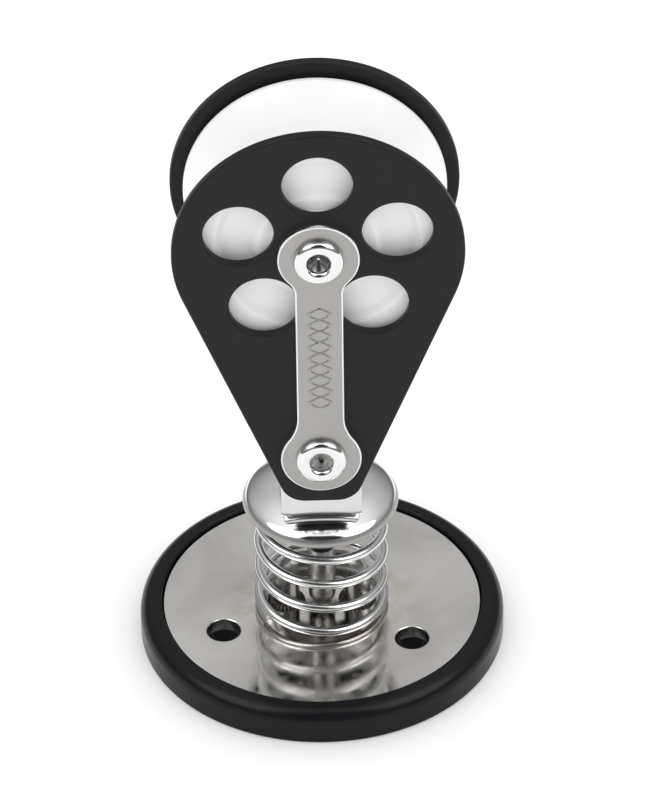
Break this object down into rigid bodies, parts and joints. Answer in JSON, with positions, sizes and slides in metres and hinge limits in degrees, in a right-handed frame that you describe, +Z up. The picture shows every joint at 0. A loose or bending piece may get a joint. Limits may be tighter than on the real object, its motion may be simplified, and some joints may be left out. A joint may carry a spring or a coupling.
{
  "type": "spring stand-up double sheave block",
  "caption": "Deck block with a wide plastic sheave between drop-shaped cheeks, held upright by a coil spring on a round screw-down base.",
  "frame": {"origin": "middle of the base pad's underside, on the surface that it stands on", "axes": "+Z up through the swivel post, sheave axle along Y, front cheek towards -Y"},
  "size_m": [0.0818, 0.0818, 0.1462],
  "materials": {
    "moulded_pad": "moulded black, satin",
    "polished_plate": "stainless, rolled and polished",
    "polished_steel": "stainless, mirror polished",
    "weld_bead": "stainless weld, lightly tinted",
    "spring_wire": "drawn stainless wire, polished",
    "satin_steel": "stainless, tumbled satin",
    "black_cheek": "matte black hard coat",
    "washer_plastic": "natural moulded",
    "white_sheave": "turned white acetal",
    "bushing_bronze": "oil-filled bronze"
  },
  "bodies": {
    "base": {"base_pad": "moulded_pad", "base_plate": "polished_plate", "pad_eye": "polished_steel", "pad_eye_welds": "weld_bead", "return_spring": "spring_wire"},
    "shackle": {"shackle_bow": "polished_steel", "shackle_pin": "polished_steel", "shackle_ring": "polished_steel"},
    "post": {"swivel_post": "polished_steel", "swivel_washer": "polished_steel", "swivel_nut": "polished_steel", "spring_cup": "polished_steel"},
    "block": {"head_yoke": "satin_steel", "head_spacer": "satin_steel", "head_pin": "polished_steel", "cheek_front": "black_cheek", "cheek_rear": "black_cheek", "strap_front": "satin_steel", "strap_rear": "satin_steel", "axle_pin": "polished_steel", "axle_sleeve": "satin_steel", "thrust_washer_front": "washer_plastic", "thrust_washer_rear": "washer_plastic"},
    "wheel": {"sheave": "white_sheave", "sheave_bushing": "bushing_bronze"}
  },
  "joints": [
    {"name": "shackle_tilt", "type": "hinge", "parent": "base", "child": "shackle", "pos_m": [0, 0, 0.0179], "axis": [1, 0, 0], "range_deg": [-50, 50], "stiffness_Nm_per_rad": 0.9, "deforming": ["return_spring"]},
    {"name": "post_tilt", "type": "hinge", "parent": "shackle", "child": "post", "pos_m": [0, 0, 0.0326], "axis": [0, 1, 0], "range_deg": [-50, 50], "stiffness_Nm_per_rad": 0.9, "deforming": ["return_spring"]},
    {"name": "block_swivel", "type": "hinge", "parent": "post", "child": "block", "pos_m": [0, 0, 0.041], "axis": [0, 0, 1], "continuous": true},
    {"name": "sheave_spin", "type": "hinge", "parent": "block", "child": "wheel", "pos_m": [0, 0, 0.11475], "axis": [0, 1, 0], "continuous": true}
  ]
}
